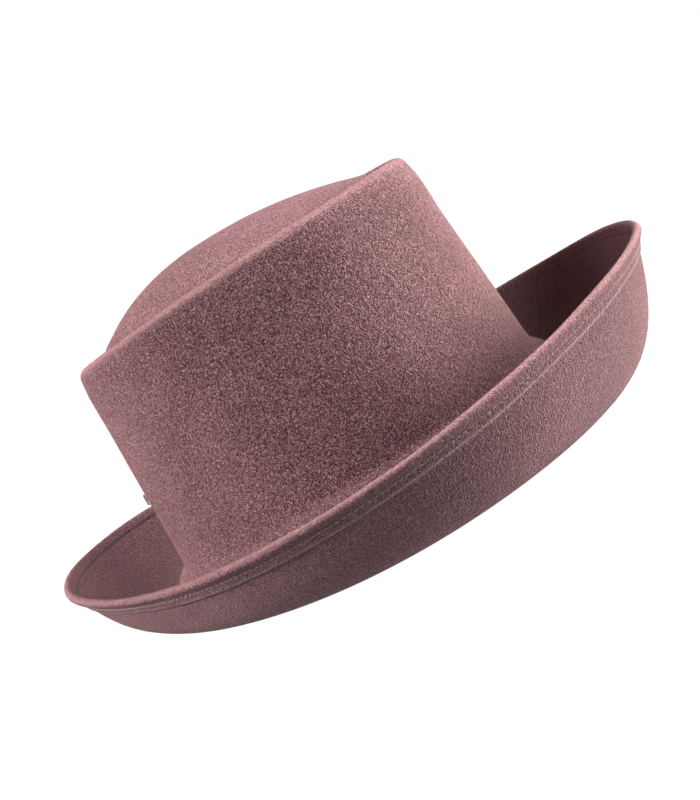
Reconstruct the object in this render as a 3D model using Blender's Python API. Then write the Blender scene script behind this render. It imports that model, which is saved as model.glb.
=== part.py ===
"""Wool felt hat with a telescope crown and a rolled, wired brim, of the bowler family.

Run with:  blender --background --python part.py

Frame: metres, +Z up.  The hat stands on the lowest ring of its brim at z = 0, its front
faces -Y, and x = y = 0 is the middle of its bounding box.  Every shell of the hat is a
section swept round the head oval, taken at one shared set of stations, so that the pieces
keep their clearances all the way round.  In a section, "out" is the distance outside the
head oval along the oval's own normal, and z is the height.
"""
import bpy
import bmesh
from math import atan2, cos, floor, hypot, pi, sin, tau
from mathutils import Matrix, Vector

# ---------------------------------------------------------------- driving dimensions, metres

STATIONS = 48                 # sections round the hat; station 0 is the back, +Y

# head oval: the outside of the crown where it meets the brim
OVAL_HALF_WIDTH = 0.0873
OVAL_HALF_LENGTH = 0.1019
OVAL_SHIFT = 0.0028           # how far the oval sits behind the middle of the bounding box

# Quantities that vary round the hat are waves: a + b cos(angle) + c cos(2 angle) + ...,
# where the angle is 0 at the back.  So b is back against front, and c ends against sides.
ROOT_HEIGHT = (0.0250, -0.0062, -0.0031)      # where the crown wall turns into the brim
BRIM_REACH = (0.0549, -0.0078, 0.0064, 0.0051, 0.0023)    # head oval to the brim's edge, in plan
EDGE_HEIGHT = (0.0416, -0.0091, 0.0064, 0.0005, 0.0008)
ROLL_BOTTOM = (0.409, -0.085, -0.108)         # share of the reach where the roll is lowest
ROLL_CURL = (0.610, -0.025, 0.029)           # how far out the roll stays low
CROWN_TAPER = (0.0076, -0.0023, 0.0002)
RIM_WAVE = (0.0, 0.0, -0.0013)                # the rim rises a little over the sides

# crown top
RIM_HEIGHT = 0.1328           # the crown's rim, over the oval's middle
RIM_SLOPE = -0.058            # it rises a little towards the front
RIM_RADIUS = 0.0053
DOME_RISE = 0.0171            # middle of the tip above the rim
DOME_POWER = 2.32
DOME_INSET = 0.0174           # where the tip passes the rim's level
DOME_SHIFT = 0.0097           # the tip's middle lies behind the oval's middle
DOME_TILT = 0.045             # the tip is nearer level than the rim, by this slope
GROOVE_INSET = 0.0124
GROOVE_DEPTH = 0.0056

# felt
FELT = 0.0024                 # crown and brim root
FELT_EDGE = 0.0013            # skived down where the brim's edge is turned over
FLAP_CUT = 0.0006             # the turned flap thins out to its cut edge
ROOT_FILLET = 0.0062          # inside of the head opening
REST_HALF = 0.0020            # half the width of the flat ring that the hat stands on

# turned hem and its wire
WIRE_RADIUS = 0.0004
WIRE_ROOM = 0.0008            # radius of the channel round the wire
WIRE_GAP = 0.0010             # between the two ends of the wire
FERRULE_RADII = (0.00050, 0.00062)
FERRULE_LENGTH = 0.0140
HEM_STRAIGHT = 0.0092
HEM_GAP = 0.0003              # between the turned flap and the brim
HEM_DEPTH = 0.0073
HEM_CLOSE = 0.0027            # depth at which the turned flap meets the brim
HEM_STITCH = 0.0041
THREAD_RADIUS = 0.00022
CLEAR = 0.0003

# sweatband, its reed, stitching and bow; a standoff is measured in from the wall's outside
BAND_TOP = 0.0340
BAND = 0.0007
BAND_STANDOFF = 0.0050
BAND_FOLD = 0.0008            # inside radius of the fold that holds the reed
BAND_FOLD_HEIGHT = 0.0022
BAND_FLAP_TOP = 0.0058
BAND_JOIN = 0.0012
REED_RADIUS = 0.00045
BAND_STITCH = 0.0052
BOW_HALF_LENGTH = 0.0130
BOW_THICK = 0.0012
BOW_HALF_HEIGHTS = (0.0026, 0.0062)
BOW_HEIGHT = 0.0190

# lining
LINING = 0.0004
LINING_BOTTOM = 0.0085
LINING_BEND = (0.0365, 0.0460)
LINING_STANDOFFS = (0.0039, 0.0054)
LINING_DROP = 0.0165          # lining tip's edge below the crown's rim
TIP_RISE = 0.0055
PIPING_RADIUS = 0.0009

# labels
TIP_LABEL_SHARE = 0.34
LABEL = 0.0003
SIZE_LABEL = (0.0110, 0.0060, 0.0180)         # half length, half height, height above root
SIZE_LABEL_STATION = 12.5
CARE_LABEL_HALF = 0.0100
CARE_LABEL_STATION = 3.5
CARE_LABEL_PATH = ((0.0046, 0.0240), (0.0046, 0.0345), (0.0064, 0.0385), (0.0068, 0.0500))

# small blank pin on the crown
PIN_STATION = -3.0
PIN_HEIGHT = 0.0400
PIN_HEAD = (0.0030, 0.0010)   # radius, thickness
PIN_POST_RADIUS = 0.0006
PIN_HOLE_RADIUS = 0.0009
CLUTCH = (0.0022, 0.0008)
PIN_SIDES = 20

# base colour, roughness, metallic
FELT_LOOK = ((0.300, 0.165, 0.170), 0.95, 0.0)
THREAD_LOOK = ((0.240, 0.125, 0.130), 0.75, 0.0)
STEEL_LOOK = ((0.550, 0.550, 0.560), 0.35, 1.0)
BAND_LOOK = ((0.130, 0.066, 0.072), 0.80, 0.0)
REED_LOOK = ((0.750, 0.740, 0.700), 0.45, 0.0)
LINING_LOOK = ((0.200, 0.105, 0.112), 0.35, 0.0)
LABEL_LOOK = ((0.620, 0.520, 0.460), 0.55, 0.0)
PIN_LOOK = ((0.860, 0.620, 0.520), 0.25, 1.0)


# ---------------------------------------------------------------- the head oval

def wave(terms, angle):
    """Value of a quantity that varies round the hat."""
    return sum(term * cos(order * angle) for order, term in enumerate(terms))


def rim_out(angle):
    return -wave(CROWN_TAPER, angle)


def root_height(angle):
    return wave(ROOT_HEIGHT, angle)


def rim_level(y):
    return RIM_HEIGHT + RIM_SLOPE * (y - OVAL_SHIFT)


def to_middle(x, y):
    """Vector in plan from a point to the middle of the crown's tip."""
    return (-x, OVAL_SHIFT + DOME_SHIFT - y)


def place(angle, out, z):
    """Point of a section in space.  Inside the crown's rim, sections turn to the middle."""
    slope = (sin(angle) / OVAL_HALF_WIDTH, cos(angle) / OVAL_HALF_LENGTH)
    edge = max(out, rim_out(angle))
    x = OVAL_HALF_WIDTH * sin(angle) + slope[0] / hypot(*slope) * edge
    y = OVAL_SHIFT + OVAL_HALF_LENGTH * cos(angle) + slope[1] / hypot(*slope) * edge
    inward = to_middle(x, y)
    share = (edge - out) / hypot(*inward)
    return (x + inward[0] * share, y + inward[1] * share, z)


def rim_span(angle):
    """Distance in plan from the crown's rim to the tip's middle."""
    return hypot(*to_middle(*place(angle, rim_out(angle), 0)[:2]))


def top_level(angle, out, share):
    """Height of the rim's surface carried inwards, to a share of the way from the middle."""
    return rim_level(place(angle, out, 0)[1]) + wave(RIM_WAVE, angle) * share ** 3


def tip_lean(y):
    """How much the tip's own slope lifts it, level with its middle."""
    return DOME_TILT * (y - OVAL_SHIFT - DOME_SHIFT)


def wall_height(angle):
    return top_level(angle, rim_out(angle), 1.0) - root_height(angle)


def inside(angle, standoff, height):
    """Point in from the outside of the crown wall, at a height above the brim's root."""
    out = rim_out(angle) * height / wall_height(angle) - standoff
    return (out, root_height(angle) + height)


# ---------------------------------------------------------------- curves in a section

def bezier(start, pull, end, steps):
    """Quadratic curve, without its first point."""
    shares = [step / steps for step in range(1, steps + 1)]
    return [tuple((1 - t) ** 2 * a + 2 * t * (1 - t) * b + t * t * c
                  for a, b, c in zip(start, pull, end)) for t in shares]


def arc(middle, radius, start, end, steps):
    """Points on a circle from one angle to another, both included."""
    turns = [start + (end - start) * step / steps for step in range(steps + 1)]
    return [(middle[0] + radius * cos(turn), middle[1] + radius * sin(turn)) for turn in turns]


def beside(path, depths):
    """The path moved to its right-hand side, by a depth at each point."""
    moved = []
    for index, (point, depth) in enumerate(zip(path, depths)):
        before = path[max(index - 1, 0)]
        after = path[min(index + 1, len(path) - 1)]
        along = (after[0] - before[0], after[1] - before[1])
        share = depth / hypot(*along)
        moved.append((point[0] + along[1] * share, point[1] - along[0] * share))
    return moved


def circle(middle, radius, sides):
    return arc(middle, radius, 0, tau * (sides - 1) / sides, sides - 1)


# ---------------------------------------------------------------- the felt

def hem_frame(angle):
    """The wire's middle, the way up the brim to its edge, and the way out of its underside."""
    reach = wave(BRIM_REACH, angle)
    tip = (reach, wave(EDGE_HEIGHT, angle))
    bottom = wave(ROLL_BOTTOM, angle) * reach
    low = bottom + (reach - bottom) * wave(ROLL_CURL, angle)
    size = hypot(tip[0] - low, tip[1])
    up = ((tip[0] - low) / size, tip[1] / size)
    off = (up[1], -up[0])
    turn = WIRE_ROOM + FELT_EDGE
    return (tip[0] - up[0] * turn, tip[1] - up[1] * turn), up, off


def hem_point(angle, depth, height):
    """Point at a depth from the wire down the brim, and a height off the brim's underside."""
    wire, up, off = hem_frame(angle)
    lift = height - WIRE_ROOM
    return (wire[0] - up[0] * depth + off[0] * lift, wire[1] - up[1] * depth + off[1] * lift)


def brim_under(angle):
    """Underside of the brim, from the head opening's fillet to the start of the hem."""
    bottom = wave(ROLL_BOTTOM, angle) * wave(BRIM_REACH, angle)
    start = (0.0040, root_height(angle) - FELT)
    flat = ((bottom - REST_HALF, 0.0), (bottom + REST_HALF, 0.0))
    dip = (start[0] + (flat[0][0] - start[0]) * 0.62, 0.0)
    hem = hem_point(angle, HEM_STRAIGHT, 0.0)
    up = hem_frame(angle)[1]
    low = (hem[0] - up[0] * hem[1] / up[1], 0.0)
    return [start] + bezier(start, dip, flat[0], 3) + [flat[1]] + bezier(flat[1], low, hem, 5)


def crown_outside(angle):
    """Outside of the crown, from next to the tip's middle out to the rim and down the wall."""
    span = rim_span(angle)
    dome = span - DOME_INSET
    profile = [(share * dome, DOME_RISE * (1 - share ** DOME_POWER))
               for share in (0.22, 0.45, 0.66, 0.84, 1.0)]
    profile.append((span - GROOVE_INSET - 0.0030, -GROOVE_DEPTH * 0.75))
    profile.append((span - GROOVE_INSET + 0.0005, -GROOVE_DEPTH))
    profile.append((span - GROOVE_INSET + 0.0040, -GROOVE_DEPTH * 0.72))
    path = []
    for radius, height in profile:
        out = rim_out(angle) - span + radius
        lean = tip_lean(place(angle, out, 0)[1]) * max(0.0, 1 - (radius / dome) ** 2)
        path.append((out, top_level(angle, out, radius / span) + height + lean))
    top = root_height(angle) + wall_height(angle)
    path += arc((rim_out(angle) - RIM_RADIUS, top - RIM_RADIUS), RIM_RADIUS, pi * 0.56, 0.05, 4)
    path.append(inside(angle, 0.0, wall_height(angle) * 0.5))
    path.append(inside(angle, 0.0, ROOT_FILLET))
    return path


def felt_section(angle):
    """The felt from the tip's middle out over the brim, round the wire, and home inside."""
    outside = crown_outside(angle)
    under = brim_under(angle)
    thin = [-FELT + (FELT - FELT_EDGE) * index / (len(under) - 1) for index in range(len(under))]
    small = ROOT_FILLET - FELT
    corner = (small, root_height(angle) + small)
    wire, up, off = hem_frame(angle)
    heading = atan2(-off[1], -off[0])
    section = outside + arc(corner, small, pi, pi * 1.4, 2)
    section += beside(under, thin)[1:]
    section += arc(wire, WIRE_ROOM + FELT_EDGE, heading, heading - pi, 4)
    section.append(hem_point(angle, HEM_CLOSE, HEM_GAP + FELT_EDGE))
    section.append(hem_point(angle, HEM_DEPTH, HEM_GAP + FLAP_CUT))
    section.append(hem_point(angle, HEM_DEPTH, HEM_GAP))
    section.append(hem_point(angle, HEM_CLOSE, HEM_GAP))
    section += arc(wire, WIRE_ROOM, heading - pi, heading, 4)
    section += reversed(under)
    section += arc(corner, ROOT_FILLET, pi * 1.4, pi, 3)
    section += reversed(beside(outside, [FELT] * len(outside))[:-1])
    return section


# ---------------------------------------------------------------- sections of the other pieces

def cord_section(middle_at, radius, sides):
    """Section of a round cord whose middle is a function of the angle."""
    return lambda angle: circle(middle_at(angle), radius, sides)


def upper_thread_middle(angle):
    return hem_point(angle, HEM_STITCH, -FELT_EDGE - CLEAR - THREAD_RADIUS)


def under_thread_middle(angle):
    share = (HEM_STITCH - HEM_CLOSE) / (HEM_DEPTH - HEM_CLOSE)
    flap = FELT_EDGE + (FLAP_CUT - FELT_EDGE) * share
    return hem_point(angle, HEM_STITCH, HEM_GAP + flap + CLEAR + THREAD_RADIUS)


def band_fold_middle(angle):
    return inside(angle, BAND_STANDOFF - BAND_FOLD, BAND_FOLD_HEIGHT)


def band_thread_middle(angle):
    return inside(angle, BAND_STANDOFF + BAND + CLEAR + THREAD_RADIUS, BAND_STITCH)


def band_section(angle):
    """Ribbon band with its lower edge folded out and up round the reed."""
    fold = band_fold_middle(angle)
    flap = BAND_STANDOFF - 2 * BAND_FOLD
    section = [inside(angle, BAND_STANDOFF + BAND, BAND_TOP)]
    section += arc(fold, BAND_FOLD + BAND, pi, tau, 4)
    section.append(inside(angle, flap - BAND, BAND_FLAP_TOP))
    section.append(inside(angle, flap, BAND_FLAP_TOP))
    section += arc(fold, BAND_FOLD, tau, pi, 4)
    section.append(inside(angle, BAND_STANDOFF, BAND_TOP))
    return section


def lining_top(angle):
    return wall_height(angle) - LINING_DROP


def lining_section(angle):
    path = ((LINING_STANDOFFS[0], LINING_BOTTOM), (LINING_STANDOFFS[0], LINING_BEND[0]),
            (LINING_STANDOFFS[1], LINING_BEND[1]), (LINING_STANDOFFS[1], lining_top(angle)))
    outer = [inside(angle, standoff, height) for standoff, height in path]
    inner = [inside(angle, standoff + LINING, height) for standoff, height in path]
    return outer + inner[::-1]


def tip_edge(angle):
    return inside(angle, LINING_STANDOFFS[1] + LINING + CLEAR, lining_top(angle))


def piping_middle(angle):
    out, z = tip_edge(angle)
    return (out - PIPING_RADIUS, z - LINING - CLEAR - PIPING_RADIUS)


def tip_face(angle, share, drop):
    """Point of the lining's tip at a share of its radius, a little below its upper face."""
    edge = tip_edge(angle)[0]
    x, y, _ = place(angle, edge, 0)
    out = edge - (1 - share) * hypot(*to_middle(x, y))
    level = top_level(angle, out, share) - LINING_DROP
    return (out, level + TIP_RISE * (1 - share ** 2) - drop)


def disc_section(shares, drop, thick):
    """Section of a dished disc that follows the lining's tip."""
    def section(angle):
        upper = [tip_face(angle, share, drop) for share in shares]
        lower = [tip_face(angle, share, drop + thick) for share in reversed(shares)]
        return upper + lower
    return section


def disc_poles(drop, thick):
    middle = OVAL_SHIFT + DOME_SHIFT
    top = rim_level(middle) - LINING_DROP + TIP_RISE - drop
    return (0, middle, top), (0, middle, top - thick)


def patch_section(path, thick):
    """Section of a thin patch that follows a path of (standoff, height) pairs."""
    def section(angle):
        outer = [inside(angle, standoff, height) for standoff, height in path]
        inner = [inside(angle, standoff + thick, height) for standoff, height in path]
        return outer + inner[::-1]
    return section


# ---------------------------------------------------------------- objects

def material(name, look):
    colour, roughness, metallic = look
    made = bpy.data.materials.new(name)
    made.use_nodes = True
    shader = made.node_tree.nodes["Principled BSDF"]
    shader.inputs["Base Color"].default_value = (*colour, 1.0)
    shader.inputs["Roughness"].default_value = roughness
    shader.inputs["Metallic"].default_value = metallic
    return made


def add_object(name, solid, look):
    """Object from a closed bmesh, with its faces out and its own material."""
    bmesh.ops.recalc_face_normals(solid, faces=solid.faces)
    mesh = bpy.data.meshes.new(name)
    solid.to_mesh(mesh)
    solid.free()
    mesh.materials.append(material(name, look))
    mesh.shade_smooth()
    mesh.set_sharp_from_angle(angle=pi / 5)
    made = bpy.data.objects.new(name, mesh)
    bpy.context.scene.collection.objects.link(made)
    return made


def row_at(section, station):
    """Placed section at a station; between two stations it lies on the chord."""
    low = floor(station)
    share = station - low
    rows = []
    for whole in (low, low + 1):
        angle = tau * whole / STATIONS
        rows.append([Vector(place(angle, out, z)) for out, z in section(angle)])
    return [a.lerp(b, share) for a, b in zip(*rows)]


def bridge(solid, here, there):
    """Quads between two rows of vertices, each row a closed loop."""
    for index in range(len(here)):
        after = (index + 1) % len(here)
        solid.faces.new((here[index], here[after], there[after], there[index]))


def ring(name, section, look):
    """Closed ring through every station."""
    solid = bmesh.new()
    rows = [[solid.verts.new(point) for point in row_at(section, station)]
            for station in range(STATIONS)]
    for here, there in zip(rows, rows[1:] + rows[:1]):
        bridge(solid, here, there)
    return add_object(name, solid, look)


def part_ring(name, section, look, start, end):
    """Part of a ring between two places in stations, with flat ends."""
    places = [start] + [whole for whole in range(floor(start) + 1, floor(end) + 1)
                        if start < whole < end] + [end]
    solid = bmesh.new()
    rows = [[solid.verts.new(point) for point in row_at(section, place_at)]
            for place_at in places]
    for here, there in zip(rows, rows[1:]):
        bridge(solid, here, there)
    solid.faces.new(rows[0])
    solid.faces.new(rows[-1])
    return add_object(name, solid, look)


def dish(name, section, poles, look):
    """Dished shell: an open section swept round, both its ends closed on a middle point."""
    solid = bmesh.new()
    rows = [[solid.verts.new(point) for point in row_at(section, station)]
            for station in range(STATIONS)]
    outer, inner = (solid.verts.new(pole) for pole in poles)
    for here, there in zip(rows, rows[1:] + rows[:1]):
        for index in range(len(here) - 1):
            solid.faces.new((here[index], here[index + 1], there[index + 1], there[index]))
        solid.faces.new((outer, here[0], there[0]))
        solid.faces.new((inner, there[-1], here[-1]))
    return add_object(name, solid, look)


def stations_for(length, middle_at, station):
    """Number of stations that a length takes up along a ring."""
    ahead, here = (Vector(place(tau * at / STATIONS, *middle_at(tau * at / STATIONS)))
                   for at in (station + 0.5, station - 0.5))
    return length / (ahead - here).length


def turned(name, profile, axis_from, axis_to, look):
    """Piece turned about an axis from a closed (radius, depth) profile."""
    axis = (axis_to - axis_from).normalized()
    frame = Matrix.Translation(axis_from) @ axis.to_track_quat("Z", "Y").to_matrix().to_4x4()
    solid = bmesh.new()
    rows = []
    for side in range(PIN_SIDES):
        turn = tau * side / PIN_SIDES
        rows.append([solid.verts.new(frame @ Vector((radius * cos(turn), radius * sin(turn), z)))
                     for radius, z in profile])
    for here, there in zip(rows, rows[1:] + rows[:1]):
        bridge(solid, here, there)
    bmesh.ops.remove_doubles(solid, verts=solid.verts, dist=1e-7)
    bmesh.ops.dissolve_degenerate(solid, edges=solid.edges, dist=1e-7)
    return add_object(name, solid, look)


# ---------------------------------------------------------------- the hat

def build_felt():
    middle = OVAL_SHIFT + DOME_SHIFT
    top = rim_level(middle) + DOME_RISE
    return dish("felt_body", felt_section, ((0, middle, top), (0, middle, top - FELT)), FELT_LOOK)


def build_wire():
    def wire_middle(angle):
        return hem_frame(angle)[0]

    half_gap = stations_for(WIRE_GAP / 2, wire_middle, 0)
    part_ring("brim_wire", cord_section(wire_middle, WIRE_RADIUS, 6), STEEL_LOOK,
              half_gap, STATIONS - half_gap)
    half = stations_for(FERRULE_LENGTH / 2, wire_middle, 0)
    solid = bmesh.new()
    rows = []
    for at in (-half, 0, half):
        loops = [row_at(cord_section(wire_middle, radius, 8), at) for radius in FERRULE_RADII]
        rows.append([[solid.verts.new(point) for point in loop] for loop in loops])
    for here, there in zip(rows, rows[1:]):
        for loop_here, loop_there in zip(here, there):
            bridge(solid, loop_here, loop_there)
    for inner, outer in (rows[0], rows[-1]):
        bridge(solid, inner, outer)
    add_object("wire_ferrule", solid, STEEL_LOOK)


def build_hem_threads():
    ring("hem_thread_upper", cord_section(upper_thread_middle, THREAD_RADIUS, 4), THREAD_LOOK)
    ring("hem_thread_under", cord_section(under_thread_middle, THREAD_RADIUS, 4), THREAD_LOOK)


def build_sweatband():
    half_join = stations_for(BAND_JOIN / 2, band_fold_middle, 0)
    span = (half_join, STATIONS - half_join)
    part_ring("sweatband", band_section, BAND_LOOK, *span)
    part_ring("sweatband_reed", cord_section(band_fold_middle, REED_RADIUS, 6), REED_LOOK, *span)
    ring("sweatband_thread", cord_section(band_thread_middle, THREAD_RADIUS, 4), THREAD_LOOK)


def build_bow():
    """Flat ribbon bow over the join of the band, narrow at its knot and wide at its ends."""
    half = stations_for(BOW_HALF_LENGTH, band_fold_middle, 0)
    standoff = BAND_STANDOFF + BAND + CLEAR
    solid = bmesh.new()
    rows = []
    for share in (-1.0, -0.75, -0.25, -0.12, 0.12, 0.25, 0.75, 1.0):
        spread = min(1.0, max(0.0, (abs(share) - 0.12) / 0.63))
        tall = BOW_HALF_HEIGHTS[0] + (BOW_HALF_HEIGHTS[1] - BOW_HALF_HEIGHTS[0]) * spread
        path = ((standoff, BOW_HEIGHT - tall), (standoff, BOW_HEIGHT + tall))
        row = row_at(patch_section(path, BOW_THICK), share * half)
        rows.append([solid.verts.new(point) for point in row])
    for here, there in zip(rows, rows[1:]):
        bridge(solid, here, there)
    solid.faces.new(rows[0])
    solid.faces.new(rows[-1])
    add_object("sweatband_bow", solid, BAND_LOOK)


def build_lining():
    shares = (0.25, 0.50, 0.75, 1.0)
    ring("lining_side", lining_section, LINING_LOOK)
    dish("lining_tip", disc_section(shares, 0.0, LINING), disc_poles(0.0, LINING), LINING_LOOK)
    ring("lining_piping", cord_section(piping_middle, PIPING_RADIUS, 6), LINING_LOOK)


def build_labels():
    drop = LINING + CLEAR
    shares = (TIP_LABEL_SHARE * 0.5, TIP_LABEL_SHARE)
    dish("tip_label", disc_section(shares, drop, LABEL), disc_poles(drop, LABEL), LABEL_LOOK)

    half_length, half_height, height = SIZE_LABEL
    half = stations_for(half_length, band_fold_middle, SIZE_LABEL_STATION)
    standoff = BAND_STANDOFF + BAND + CLEAR
    path = ((standoff, height - half_height), (standoff, height + half_height))
    part_ring("size_label", patch_section(path, LABEL), LABEL_LOOK,
              SIZE_LABEL_STATION - half, SIZE_LABEL_STATION + half)

    half = stations_for(CARE_LABEL_HALF, band_fold_middle, CARE_LABEL_STATION)
    part_ring("care_label", patch_section(CARE_LABEL_PATH, LABEL), LABEL_LOOK,
              CARE_LABEL_STATION - half, CARE_LABEL_STATION + half)


def build_pin(felt):
    """Blank pin on the crown: a round head, a post through the felt and a clutch behind it."""
    def wall_face(standoff):
        path = ((standoff, PIN_HEIGHT), (standoff, PIN_HEIGHT + 0.010))
        low, high = row_at(patch_section(path, LABEL), PIN_STATION)[:2]
        return low, (high - low).normalized()

    face, rise = wall_face(0.0)
    behind, _ = wall_face(FELT)
    inward = behind - face
    inward = (inward - rise * inward.dot(rise)).normalized()
    outer = -CLEAR
    behind_felt = FELT + CLEAR
    end = behind_felt + CLUTCH[1]
    head = [(0.0, outer - PIN_HEAD[1]), (PIN_HEAD[0] * 0.8, outer - PIN_HEAD[1]),
            (PIN_HEAD[0], outer - PIN_HEAD[1] * 0.55), (PIN_HEAD[0], outer),
            (PIN_POST_RADIUS, outer), (PIN_POST_RADIUS, end), (0.0, end)]
    turned("crown_pin", head, face, face + inward, PIN_LOOK)
    clutch = [(PIN_HOLE_RADIUS, behind_felt), (CLUTCH[0], behind_felt), (CLUTCH[0], end),
              (PIN_HOLE_RADIUS, end)]
    turned("pin_clutch", clutch, face, face + inward, PIN_LOOK)
    drill = [(0.0, -0.003), (PIN_HOLE_RADIUS, -0.003), (PIN_HOLE_RADIUS, 0.006), (0.0, 0.006)]
    cutter = turned("pin_hole_cutter", drill, face, face + inward, STEEL_LOOK)
    cutter.hide_render = True
    cutter.display_type = "WIRE"
    cut = felt.modifiers.new("pin_hole", "BOOLEAN")
    cut.operation = "DIFFERENCE"
    cut.solver = "EXACT"
    cut.object = cutter


def main():
    for old in list(bpy.data.objects):
        bpy.data.objects.remove(old, do_unlink=True)
    felt = build_felt()
    build_wire()
    build_hem_threads()
    build_sweatband()
    build_bow()
    build_lining()
    build_labels()
    build_pin(felt)


main()
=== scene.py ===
"""Looks of the felt hat, in the CAD's frame: metres, +Z up, the front of the hat at -Y.

Felt, ribbon and satin are sections swept round the head oval.  In a section, "out" is the
distance outside the oval and z is the height.  Angle 0 is the back, turning towards +X.
Sections are arrays: one row per station round the hat, one column per point.
"""
from math import cos, pi, radians, sin, tau

import bpy
import numpy as np
from mathutils import Matrix, Vector, noise

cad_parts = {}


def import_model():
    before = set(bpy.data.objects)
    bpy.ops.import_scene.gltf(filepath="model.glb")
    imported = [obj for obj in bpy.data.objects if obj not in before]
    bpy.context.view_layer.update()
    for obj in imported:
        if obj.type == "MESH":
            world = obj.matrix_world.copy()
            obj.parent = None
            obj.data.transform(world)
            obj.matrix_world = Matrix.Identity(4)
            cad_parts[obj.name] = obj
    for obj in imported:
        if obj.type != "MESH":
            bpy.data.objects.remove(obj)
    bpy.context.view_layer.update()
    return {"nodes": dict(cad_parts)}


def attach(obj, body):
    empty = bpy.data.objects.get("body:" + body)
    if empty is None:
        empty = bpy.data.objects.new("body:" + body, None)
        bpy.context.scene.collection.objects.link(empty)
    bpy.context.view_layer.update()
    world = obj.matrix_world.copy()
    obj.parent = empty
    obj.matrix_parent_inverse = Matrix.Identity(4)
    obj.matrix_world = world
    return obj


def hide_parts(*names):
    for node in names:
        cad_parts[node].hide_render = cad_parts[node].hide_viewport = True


# ---------------------------------------------------------------- the hat's dimensions, metres

# the head oval, round the foot of the crown's outside
OVAL_HALF_WIDTH = 0.0873
OVAL_HALF_LENGTH = 0.1019
OVAL_SHIFT = 0.0028

# quantities that vary round the hat: a + b cos(angle) + c cos(2 angle) + ...
ROOT_HEIGHT = (0.0250, -0.0062, -0.0031)
BRIM_REACH = (0.0549, -0.0078, 0.0064, 0.0051, 0.0023)
EDGE_HEIGHT = (0.0416, -0.0091, 0.0064, 0.0005, 0.0008)
ROLL_BOTTOM = (0.409, -0.085, -0.108)         # share of the reach where the brim lies lowest
ROLL_CURL = (0.610, -0.025, 0.029)            # share of the way from there where it turns up
CROWN_TAPER = (0.0076, -0.0023, 0.0002)
RIM_WAVE = (0.0, 0.0, -0.0013)

# the crown's rim, the groove inside it and the dome inside the groove
RIM_HEIGHT = 0.1328
RIM_SLOPE = -0.058
RIM_RADIUS = 0.0053
DOME_RISE = 0.0171
DOME_POWER = 2.32
DOME_INSET = 0.0174
DOME_TILT = 0.045
DOME_SHIFT = 0.0097
GROOVE_INSET = 0.0124
GROOVE_DEPTH = 0.0056

# the felt's thickness in the body, at the brim's edge and at the flap's cut edge
FELT = 0.0024
FELT_EDGE = 0.0013
FLAP_CUT = 0.0006
ROOT_FILLET = 0.0062
UNDER_START = 0.0040          # where the underside leaves the fillet
REST_HALF = 0.0020            # half width of the strip that the brim rests on

# the hem: the edge is turned over a wire, down the brim's underside, and stitched through
WIRE_ROOM = 0.0008
HEM_STRAIGHT = 0.0097
HEM_DEPTH = 0.0079
HEM_CLOSE = 0.0027            # depth where the flap comes down on to the brim
HEM_STITCH = 0.0039
HEM_GAP = 0.0003
# depths of points on the brim's face and on the flap, closer together beside the stitches
FACE_DEPTHS = (0.0092, 0.0080, 0.0068, 0.0059, 0.0051, 0.0046, 0.0042, 0.0039, 0.0036, 0.0032,
               0.0027, 0.0020, 0.0011)
FLAP_DEPTHS = (0.0007, 0.0014, 0.0021, 0.0027, 0.0032, 0.0036, 0.0039, 0.0042, 0.0047, 0.0056,
               0.0066, 0.0075)
STITCH_PITCH = 0.0030
STITCH_LENGTH = 0.0024
STITCH_RADIUS = 0.00024
STITCH_LIFT = 0.00012
# how far the stitches draw in the brim's face, the flap, and the width of the furrow
STITCH_DIP = 0.00055
FLAP_DIP = 0.00022
FURROW = 0.00075

# the ribbon sweatband: heights above the brim's root, and standoffs from the crown's outside
BAND_TOP = 0.0340
BAND = 0.0007
BAND_STANDOFF = 0.0050
BAND_FOLD = 0.0008
BAND_FOLD_HEIGHT = 0.0022
BAND_FLAP_TOP = 0.0058
BAND_STITCH = 0.0052
BAND_STITCH_RADIUS = 0.00020
BAND_JOIN = 0.0012            # gap between the band's two ends
BOW_HALF_LENGTH = 0.0130
BOW_HEIGHT = 0.0190
BOW_HALF_HEIGHTS = (0.0026, 0.0062)           # at the knot and across the loops
BOW_THICK = 0.0012
BOW_PLEAT = 0.00022

# the lining stands off the crown by one distance below its bend and another above
LINING = 0.0004
LINING_BOTTOM = 0.0085
LINING_BEND = (0.0365, 0.0460)
LINING_STANDOFFS = (0.0039, 0.0054)
LINING_DROP = 0.0165          # from the crown's rim down to the lining's tip
LINING_FOLD = 0.00042
PLEATS = 54
TIP_RISE = 0.0055
PIPING_RADIUS = 0.0009
PIPING_TWISTS = 240

TIP_LABEL_SHARE = 0.34        # of the tip's radius
LABEL = 0.0003
SIZE_LABEL = (0.0110, 0.0060, 0.0180)         # half length, half height and middle height
SIZE_LABEL_TURN = 12.5 / 48                   # share of a turn from the back
CARE_LABEL_HALF = 0.0100
CARE_LABEL_TURN = 3.5 / 48
CARE_LABEL_PATH = ((0.0046, 0.0240), (0.0046, 0.0345), (0.0064, 0.0385), (0.0068, 0.0500))
CLEAR = 0.0003                # between pieces that lie against each other

STATIONS = 640                # round the felt
FINE = 0.0019                 # spacing of the felt's points along a section


# ---------------------------------------------------------------- the head oval

def wave(terms, angle):
    return sum(term * np.cos(order * angle) for order, term in enumerate(terms))


def rim_out(angle):
    return -wave(CROWN_TAPER, angle)


def root_height(angle):
    return wave(ROOT_HEIGHT, angle)


def rim_level(y):
    return RIM_HEIGHT + RIM_SLOPE * (y - OVAL_SHIFT)


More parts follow.
